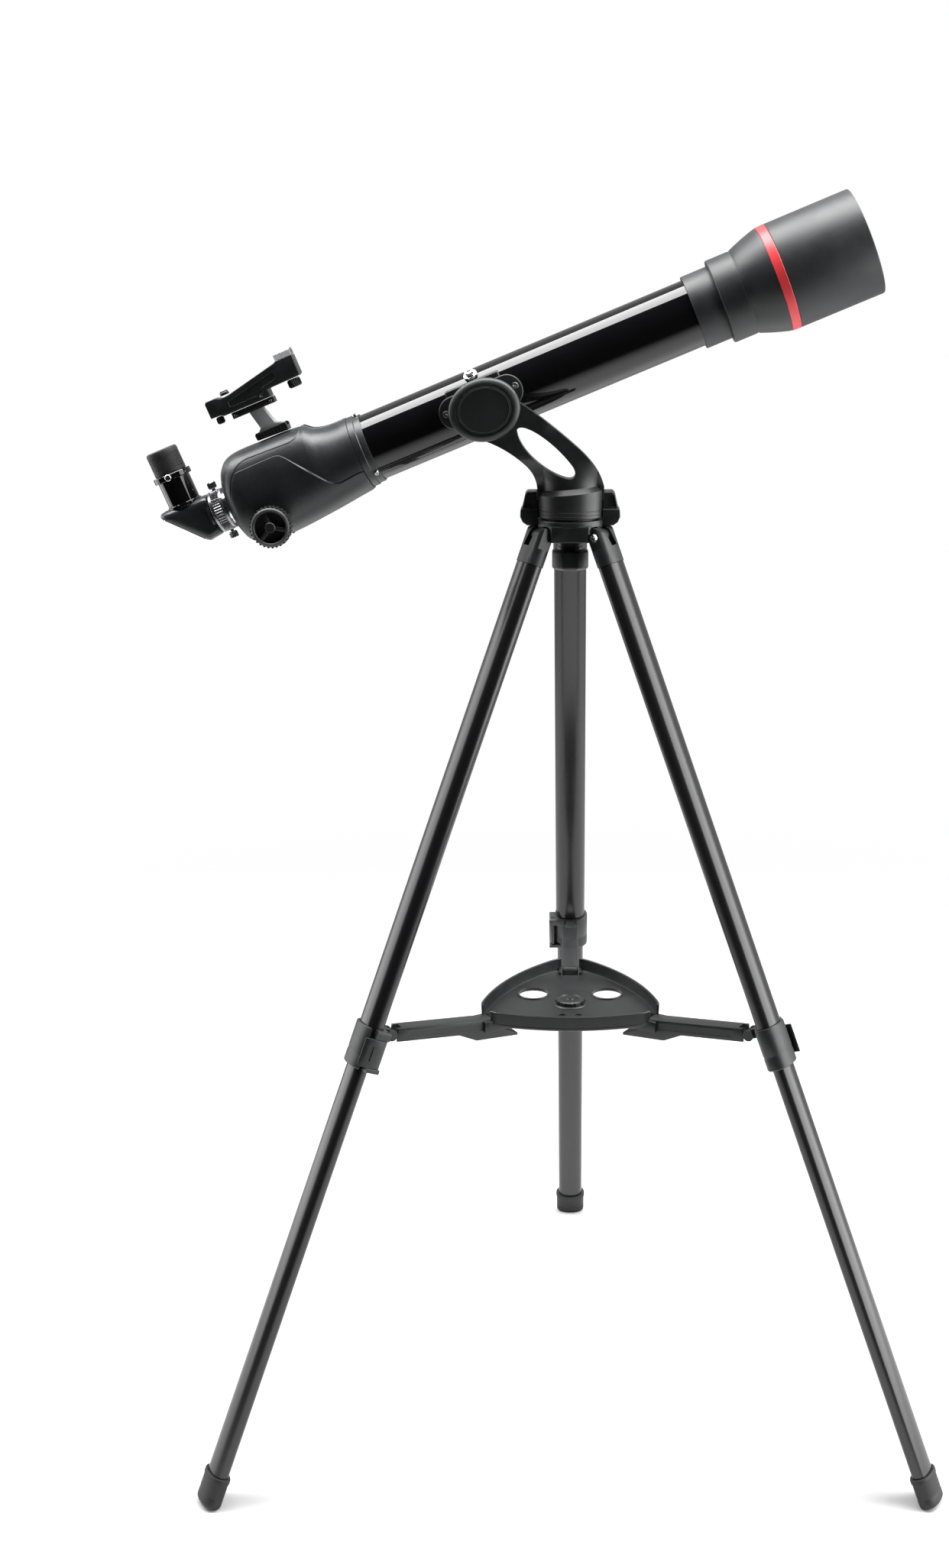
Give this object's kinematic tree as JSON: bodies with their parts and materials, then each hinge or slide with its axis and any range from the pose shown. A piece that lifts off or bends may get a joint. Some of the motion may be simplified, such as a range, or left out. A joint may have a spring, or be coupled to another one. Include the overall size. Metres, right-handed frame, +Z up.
{
  "type": "refractor telescope",
  "caption": "Refractor telescope with flared light shade, red-dot finder and star diagonal, on a single-arm alt-azimuth mount and a braced folding tripod with accessory tray.",
  "frame": {"origin": "middle of the object's box, on the floor", "axes": "+Z up; +X is the way the objective points, seen from above; +Y runs from the mount's arm across the tube, and is the shortest side of the box"},
  "size_m": [0.855, 0.7044, 1.3693],
  "materials": {
    "moulded_black": "satin moulded",
    "housing_grey": "satin moulded",
    "black_enamel": "gloss",
    "anodised_black": "satin anodised",
    "chrome_plate": "polished",
    "black_rubber": "matte",
    "red_paint": "satin",
    "optical_glass": "coated",
    "silvered_glass": "polished",
    "sheet_steel": "satin"
  },
  "bodies": {
    "stand_head": {"tripod_head": "moulded_black", "azimuth_bearing": "moulded_black", "leg_bolt_1": "chrome_plate", "leg_bolt_2": "chrome_plate", "leg_bolt_3": "chrome_plate"},
    "head_nut": {"head_knob": "moulded_black"},
    "leg_1": {"leg_cap_1": "moulded_black", "upper_tube_1": "anodised_black", "leg_clamp_1": "moulded_black"},
    "lever_1": {"clamp_lever_1": "moulded_black"},
    "lower_leg_1": {"lower_tube_1": "anodised_black", "foot_1": "black_rubber"},
    "link_1": {"brace_link_1": "moulded_black"},
    "leg_2": {"leg_cap_2": "moulded_black", "upper_tube_2": "anodised_black", "leg_clamp_2": "moulded_black"},
    "lever_2": {"clamp_lever_2": "moulded_black"},
    "lower_leg_2": {"lower_tube_2": "anodised_black", "foot_2": "black_rubber"},
    "link_2": {"brace_link_2": "moulded_black"},
    "leg_3": {"leg_cap_3": "moulded_black", "upper_tube_3": "anodised_black", "leg_clamp_3": "moulded_black"},
    "lever_3": {"clamp_lever_3": "moulded_black"},
    "lower_leg_3": {"lower_tube_3": "anodised_black", "foot_3": "black_rubber"},
    "link_3": {"brace_link_3": "moulded_black"},
    "tray": {"tray": "moulded_black"},
    "tray_nut": {"tray_knob": "moulded_black"},
    "mount": {"mount_arm": "moulded_black", "hub_cap": "moulded_black"},
    "optical_tube": {"cradle": "moulded_black", "altitude_axle": "chrome_plate", "cradle_post": "chrome_plate", "main_tube": "black_enamel", "objective_cell": "moulded_black", "objective_lens": "optical_glass", "dew_shield": "housing_grey", "red_band": "red_paint", "rear_ring": "moulded_black", "rear_body": "housing_grey", "finder_shoe": "moulded_black", "finder_bracket": "sheet_steel", "finder_body": "moulded_black", "finder_window": "optical_glass"},
    "focus_knobs": {"focus_knob_near": "black_rubber", "focus_knob_far": "black_rubber", "focus_shaft": "chrome_plate"},
    "draw": {"drawtube": "chrome_plate", "drawtube_ring": "moulded_black"},
    "top_screw": {"thumbscrew_top": "chrome_plate"},
    "bottom_screw": {"thumbscrew_bottom": "chrome_plate"},
    "diagonal": {"diagonal_body": "moulded_black", "diagonal_mirror": "silvered_glass"},
    "eyepiece_unit": {"eyepiece": "black_rubber", "eye_lens": "optical_glass"},
    "eyepiece_lock": {"eyepiece_screw": "chrome_plate"},
    "finder_front": {"finder_knob_front": "moulded_black"},
    "finder_rear": {"finder_knob_rear": "moulded_black"},
    "finder_dial": {"finder_switch": "moulded_black"}
  },
  "joints": [
    {"name": "head_knob_turn", "type": "hinge", "parent": "stand_head", "child": "head_nut", "pos_m": [0.02271, -0.1092, 0.992], "axis": [0, 0, 1], "range_deg": [0, 720]},
    {"name": "leg_1_fold", "type": "hinge", "parent": "stand_head", "child": "leg_1", "pos_m": [0.02271, -0.0715, 1.019], "axis": [-1, 0, 0], "range_deg": [0, 13]},
    {"name": "lower_leg_1_slide", "type": "slide", "parent": "leg_1", "child": "lower_leg_1", "axis": [0, -0.377, 0.9262], "range_m": [0, 0.44]},
    {"name": "lever_1_flip", "type": "hinge", "parent": "leg_1", "child": "lever_1", "pos_m": [0.00071, 0.13583, 0.48582], "axis": [0, -0.377, 0.9262], "range_deg": [0, 100]},
    {"name": "link_1_swing", "type": "hinge", "parent": "leg_1", "child": "link_1", "pos_m": [0.02271, 0.11505, 0.49841], "axis": [1, 0, 0], "range_deg": [0, 99.68]},
    {"name": "leg_2_fold", "type": "hinge", "parent": "stand_head", "child": "leg_2", "pos_m": [-0.00993, -0.12805, 1.019], "axis": [0.5, -0.866, 0], "range_deg": [0, 13]},
    {"name": "lower_leg_2_slide", "type": "slide", "parent": "leg_2", "child": "lower_leg_2", "axis": [0.3265, 0.1885, 0.9262], "range_m": [0, 0.44]},
    {"name": "lever_2_flip", "type": "hinge", "parent": "leg_2", "child": "lever_2", "pos_m": [-0.17849, -0.25076, 0.48582], "axis": [0.3265, 0.1885, 0.9262], "range_deg": [0, 100]},
    {"name": "link_2_swing", "type": "hinge", "parent": "leg_2", "child": "link_2", "pos_m": [-0.17149, -0.22132, 0.49841], "axis": [-0.5, 0.866, 0], "range_deg": [0, 99.68]},
    {"name": "leg_3_fold", "type": "hinge", "parent": "stand_head", "child": "leg_3", "pos_m": [0.05536, -0.12805, 1.019], "axis": [0.5, 0.866, 0], "range_deg": [0, 13]},
    {"name": "lower_leg_3_slide", "type": "slide", "parent": "leg_3", "child": "lower_leg_3", "axis": [-0.3265, 0.1885, 0.9262], "range_m": [0, 0.44]},
    {"name": "lever_3_flip", "type": "hinge", "parent": "leg_3", "child": "lever_3", "pos_m": [0.24591, -0.21266, 0.48582], "axis": [-0.3265, 0.1885, 0.9262], "range_deg": [0, 100]},
    {"name": "link_3_swing", "type": "hinge", "parent": "leg_3", "child": "link_3", "pos_m": [0.21692, -0.22132, 0.49841], "axis": [-0.5, -0.866, 0], "range_deg": [0, 99.68]},
    {"name": "tray_drop", "type": "slide", "parent": "stand_head", "child": "tray", "axis": [0, 0, -1], "range_m": [0, 0.13299]},
    {"name": "tray_knob_turn", "type": "hinge", "parent": "tray", "child": "tray_nut", "pos_m": [0.02271, -0.1092, 0.491], "axis": [0, 0, 1], "range_deg": [0, 720]},
    {"name": "azimuth", "type": "hinge", "parent": "stand_head", "child": "mount", "pos_m": [0.02271, -0.1092, 1.04], "axis": [0, 0, 1], "continuous": true},
    {"name": "altitude", "type": "hinge", "parent": "mount", "child": "optical_tube", "pos_m": [-0.06489, -0.1392, 1.151], "axis": [0, -1, 0], "range_deg": [-37, 37.5]},
    {"name": "focus_turn", "type": "hinge", "parent": "optical_tube", "child": "focus_knobs", "pos_m": [-0.29046, -0.0772, 1.02895], "axis": [0, -1, 0], "range_deg": [0, 459]},
    {"name": "drawtube_slide", "type": "slide", "parent": "optical_tube", "child": "draw", "axis": [-0.9255, 0, -0.3788], "range_m": [0, 0.08]},
    {"name": "thumbscrew_top_turn", "type": "hinge", "parent": "draw", "child": "top_screw", "pos_m": [-0.35909, -0.0772, 1.06462], "axis": [-0.3788, 0, 0.9255], "range_deg": [0, 360]},
    {"name": "thumbscrew_bottom_turn", "type": "hinge", "parent": "draw", "child": "bottom_screw", "pos_m": [-0.33939, -0.0772, 1.01649], "axis": [-0.3788, 0, 0.9255], "range_deg": [0, 360]},
    {"name": "diagonal_turn", "type": "hinge", "parent": "draw", "child": "diagonal", "pos_m": [-0.35757, -0.0772, 1.03714], "axis": [0.9255, 0, 0.3788], "continuous": true},
    {"name": "eyepiece_slide", "type": "slide", "parent": "diagonal", "child": "eyepiece_unit", "axis": [-0.3788, 0, 0.9255], "range_m": [0, 0.026]},
    {"name": "eyepiece_screw_turn", "type": "hinge", "parent": "diagonal", "child": "eyepiece_lock", "pos_m": [-0.4014, -0.0992, 1.0769], "axis": [0, 1, 0], "range_deg": [0, 360]},
    {"name": "finder_knob_front_turn", "type": "hinge", "parent": "optical_tube", "child": "finder_front", "pos_m": [-0.26758, -0.0772, 1.17447], "axis": [-0.3788, 0, 0.9255], "range_deg": [-180, 180]},
    {"name": "finder_knob_rear_turn", "type": "hinge", "parent": "optical_tube", "child": "finder_rear", "pos_m": [-0.34703, -0.0772, 1.13546], "axis": [-0.3788, 0, 0.9255], "range_deg": [-180, 180]},
    {"name": "finder_switch_turn", "type": "hinge", "parent": "optical_tube", "child": "finder_dial", "pos_m": [-0.34148, -0.0772, 1.16151], "axis": [-0.3788, 0, 0.9255], "range_deg": [0, 90]}
  ],
  "couplings": [
    {"joint": "link_1_swing", "follows": "leg_1_fold", "ratio": 7.667},
    {"joint": "link_2_swing", "follows": "leg_1_fold", "ratio": 7.667},
    {"joint": "leg_2_fold", "follows": "leg_1_fold", "ratio": 1},
    {"joint": "link_3_swing", "follows": "leg_1_fold", "ratio": 7.667},
    {"joint": "leg_3_fold", "follows": "leg_1_fold", "ratio": 1},
    {"joint": "tray_drop", "follows": "leg_1_fold", "m_per_rad": 0.58608},
    {"joint": "focus_turn", "follows": "drawtube_slide", "rad_per_m": 100}
  ]
}
